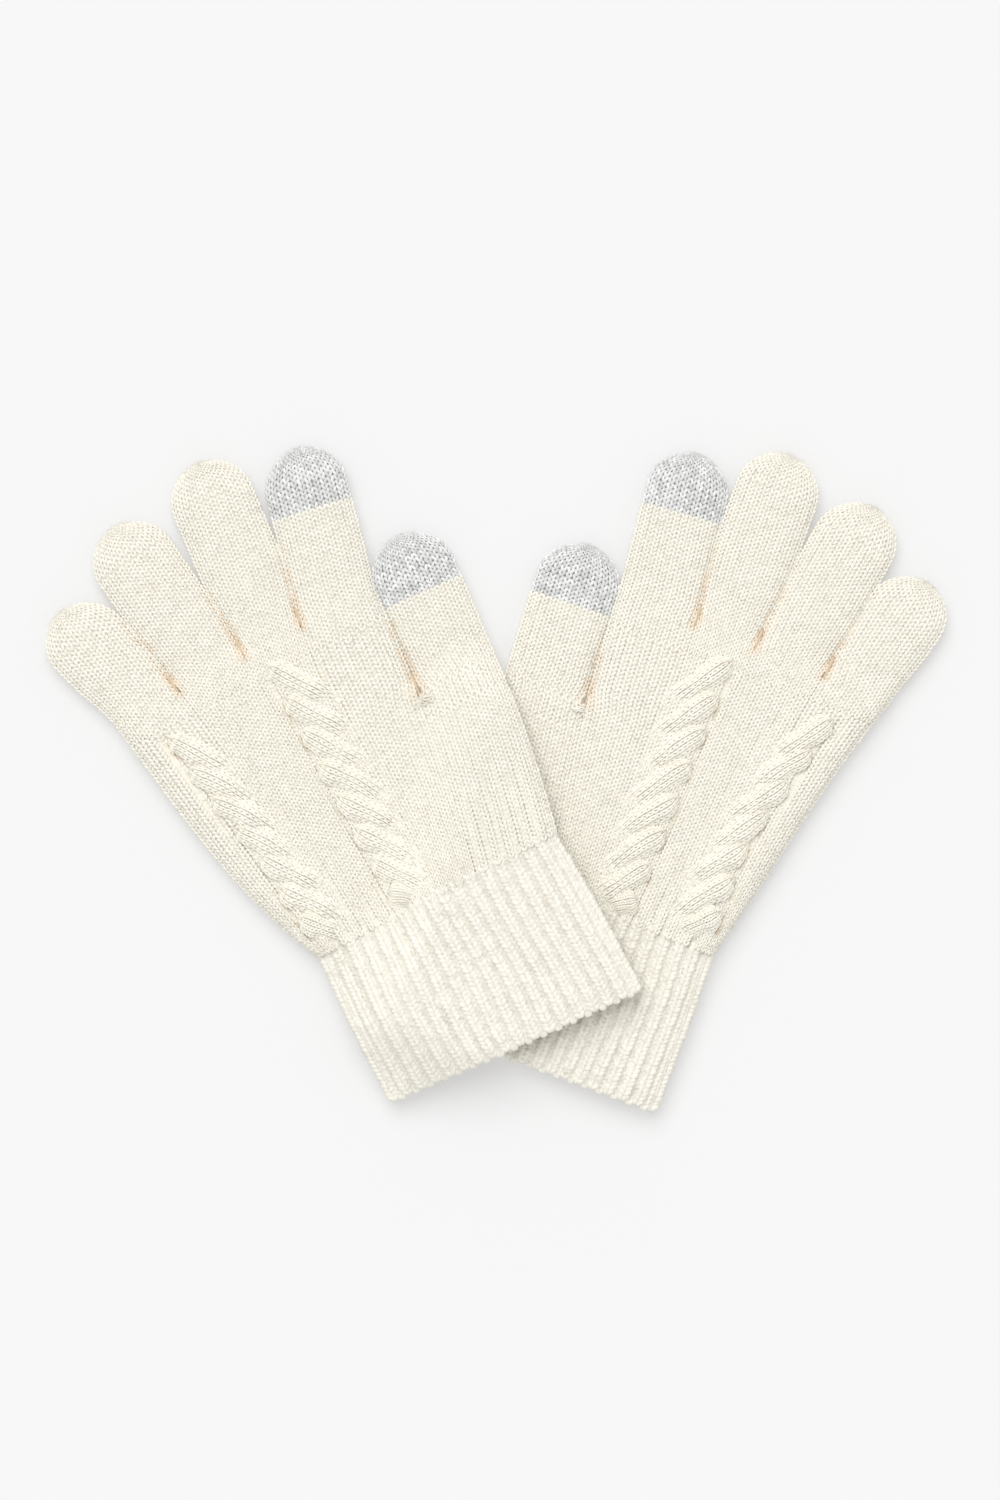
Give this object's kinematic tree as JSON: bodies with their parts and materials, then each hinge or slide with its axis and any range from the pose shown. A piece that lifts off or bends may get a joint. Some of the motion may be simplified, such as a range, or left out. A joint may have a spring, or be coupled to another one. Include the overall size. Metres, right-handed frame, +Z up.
{
  "type": "pair of knitted gloves",
  "caption": "Pair of full-finger cable-knit gloves laid flat, backs up, with long ribbed cuffs and grey touchscreen tips on index fingers and thumbs; fingers fold.",
  "frame": {"origin": "middle of the pair on the table, under the gloves", "axes": "+X across the pair towards the right-hand glove's fingers, +Y away from the cuffs towards the fingertips, +Z up from the table, out of the backs of the hands"},
  "size_m": [0.3044, 0.2248, 0.0201],
  "materials": {
    "cream_knit": "brushed wool-like yarn, soft halo",
    "grey_touch_knit": "brushed conductive yarn, matt",
    "elastic_thread": "matt covered elastic"
  },
  "bodies": {
    "right_hand": {"right_hand_back": "cream_knit", "right_hand_palm": "cream_knit", "right_cuff": "cream_knit", "right_cuff_hem": "cream_knit", "right_cuff_elastic": "elastic_thread", "right_inner_cable": "cream_knit", "right_outer_cable": "cream_knit"},
    "right_little_lower": {"right_little_base": "cream_knit"},
    "right_little_upper": {"right_little_end": "cream_knit"},
    "right_ring_lower": {"right_ring_base": "cream_knit"},
    "right_ring_upper": {"right_ring_end": "cream_knit"},
    "right_middle_lower": {"right_middle_base": "cream_knit"},
    "right_middle_upper": {"right_middle_end": "cream_knit"},
    "right_index_lower": {"right_index_base": "cream_knit"},
    "right_index_upper": {"right_index_end": "cream_knit", "right_index_touch_tip": "grey_touch_knit"},
    "right_thumb_lower": {"right_thumb_base": "cream_knit"},
    "right_thumb_upper": {"right_thumb_end": "cream_knit", "right_thumb_touch_tip": "grey_touch_knit"},
    "left_hand": {"left_hand_back": "cream_knit", "left_hand_palm": "cream_knit", "left_cuff": "cream_knit", "left_cuff_hem": "cream_knit", "left_cuff_elastic": "elastic_thread", "left_inner_cable": "cream_knit", "left_outer_cable": "cream_knit"},
    "left_little_lower": {"left_little_base": "cream_knit"},
    "left_little_upper": {"left_little_end": "cream_knit"},
    "left_ring_lower": {"left_ring_base": "cream_knit"},
    "left_ring_upper": {"left_ring_end": "cream_knit"},
    "left_middle_lower": {"left_middle_base": "cream_knit"},
    "left_middle_upper": {"left_middle_end": "cream_knit"},
    "left_index_lower": {"left_index_base": "cream_knit"},
    "left_index_upper": {"left_index_end": "cream_knit", "left_index_touch_tip": "grey_touch_knit"},
    "left_thumb_lower": {"left_thumb_base": "cream_knit"},
    "left_thumb_upper": {"left_thumb_end": "cream_knit", "left_thumb_touch_tip": "grey_touch_knit"}
  },
  "joints": [
    {"name": "left_glove_lift", "type": "slide", "parent": "right_hand", "child": "left_hand", "axis": [0, 0, 1], "range_m": [0, 0.1]},
    {"name": "left_little_fold", "type": "hinge", "parent": "left_hand", "child": "left_little_lower", "pos_m": [-0.11648, 0.02309, 0.008], "axis": [0.8854, 0.4648, 0], "range_deg": [0, 45]},
    {"name": "left_little_tip_fold", "type": "hinge", "parent": "left_little_lower", "child": "left_little_upper", "pos_m": [-0.13037, 0.03814, 0.008], "axis": [0.8854, 0.4648, 0], "range_deg": [0, 45]},
    {"name": "left_ring_fold", "type": "hinge", "parent": "left_hand", "child": "left_ring_lower", "pos_m": [-0.09484, 0.03446, 0.008], "axis": [0.8854, 0.4648, 0], "range_deg": [0, 45]},
    {"name": "left_ring_tip_fold", "type": "hinge", "parent": "left_ring_lower", "child": "left_ring_upper", "pos_m": [-0.11067, 0.05732, 0.008], "axis": [0.8854, 0.4648, 0], "range_deg": [0, 45]},
    {"name": "left_middle_fold", "type": "hinge", "parent": "left_hand", "child": "left_middle_lower", "pos_m": [-0.07452, 0.04512, 0.008], "axis": [0.8854, 0.4648, 0], "range_deg": [0, 45]},
    {"name": "left_middle_tip_fold", "type": "hinge", "parent": "left_middle_lower", "child": "left_middle_upper", "pos_m": [-0.08651, 0.07312, 0.008], "axis": [0.8854, 0.4648, 0], "range_deg": [0, 45]},
    {"name": "left_index_fold", "type": "hinge", "parent": "left_hand", "child": "left_index_lower", "pos_m": [-0.05287, 0.05649, 0.008], "axis": [0.8854, 0.4648, 0], "range_deg": [0, 45]},
    {"name": "left_index_tip_fold", "type": "hinge", "parent": "left_index_lower", "child": "left_index_upper", "pos_m": [-0.05946, 0.08161, 0.008], "axis": [0.8854, 0.4648, 0], "range_deg": [0, 45]},
    {"name": "left_thumb_fold", "type": "hinge", "parent": "left_hand", "child": "left_thumb_lower", "pos_m": [-0.01237, 0.03483, 0.008], "axis": [0.8854, 0.4648, 0], "range_deg": [0, 45]},
    {"name": "left_thumb_tip_fold", "type": "hinge", "parent": "left_thumb_lower", "child": "left_thumb_upper", "pos_m": [-0.02183, 0.05636, 0.008], "axis": [0.8854, 0.4648, 0], "range_deg": [0, 45]},
    {"name": "right_little_fold", "type": "hinge", "parent": "right_hand", "child": "right_little_lower", "pos_m": [0.12086, 0.02934, 0.008], "axis": [0.9304, -0.3665, 0], "range_deg": [0, 45]},
    {"name": "right_little_tip_fold", "type": "hinge", "parent": "right_little_lower", "child": "right_little_upper", "pos_m": [0.13219, 0.04614, 0.008], "axis": [0.9304, -0.3665, 0], "range_deg": [0, 45]},
    {"name": "right_ring_fold", "type": "hinge", "parent": "right_hand", "child": "right_ring_lower", "pos_m": [0.09811, 0.0383, 0.008], "axis": [0.9304, -0.3665, 0], "range_deg": [0, 45]},
    {"name": "right_ring_tip_fold", "type": "hinge", "parent": "right_ring_lower", "child": "right_ring_upper", "pos_m": [0.11161, 0.06265, 0.008], "axis": [0.9304, -0.3665, 0], "range_deg": [0, 45]},
    {"name": "right_middle_fold", "type": "hinge", "parent": "right_hand", "child": "right_middle_lower", "pos_m": [0.07676, 0.04672, 0.008], "axis": [0.9304, -0.3665, 0], "range_deg": [0, 45]},
    {"name": "right_middle_tip_fold", "type": "hinge", "parent": "right_middle_lower", "child": "right_middle_upper", "pos_m": [0.08715, 0.07526, 0.008], "axis": [0.9304, -0.3665, 0], "range_deg": [0, 45]},
    {"name": "right_index_fold", "type": "hinge", "parent": "right_hand", "child": "right_index_lower", "pos_m": [0.05401, 0.05568, 0.008], "axis": [0.9304, -0.3665, 0], "range_deg": [0, 45]},
    {"name": "right_index_tip_fold", "type": "hinge", "parent": "right_index_lower", "child": "right_index_upper", "pos_m": [0.06039, 0.08035, 0.008], "axis": [0.9304, -0.3665, 0], "range_deg": [0, 45]},
    {"name": "right_thumb_fold", "type": "hinge", "parent": "right_hand", "child": "right_thumb_lower", "pos_m": [0.01609, 0.02977, 0.008], "axis": [0.9304, -0.3665, 0], "range_deg": [0, 45]},
    {"name": "right_thumb_tip_fold", "type": "hinge", "parent": "right_thumb_lower", "child": "right_thumb_upper", "pos_m": [0.02336, 0.05212, 0.008], "axis": [0.9304, -0.3665, 0], "range_deg": [0, 45]}
  ],
  "couplings": [
    {"joint": "left_little_tip_fold", "follows": "left_little_fold", "ratio": 1},
    {"joint": "left_ring_tip_fold", "follows": "left_ring_fold", "ratio": 1},
    {"joint": "left_middle_tip_fold", "follows": "left_middle_fold", "ratio": 1},
    {"joint": "left_index_tip_fold", "follows": "left_index_fold", "ratio": 1},
    {"joint": "left_thumb_tip_fold", "follows": "left_thumb_fold", "ratio": 1},
    {"joint": "right_little_tip_fold", "follows": "right_little_fold", "ratio": 1},
    {"joint": "right_ring_tip_fold", "follows": "right_ring_fold", "ratio": 1},
    {"joint": "right_middle_tip_fold", "follows": "right_middle_fold", "ratio": 1},
    {"joint": "right_index_tip_fold", "follows": "right_index_fold", "ratio": 1},
    {"joint": "right_thumb_tip_fold", "follows": "right_thumb_fold", "ratio": 1}
  ]
}
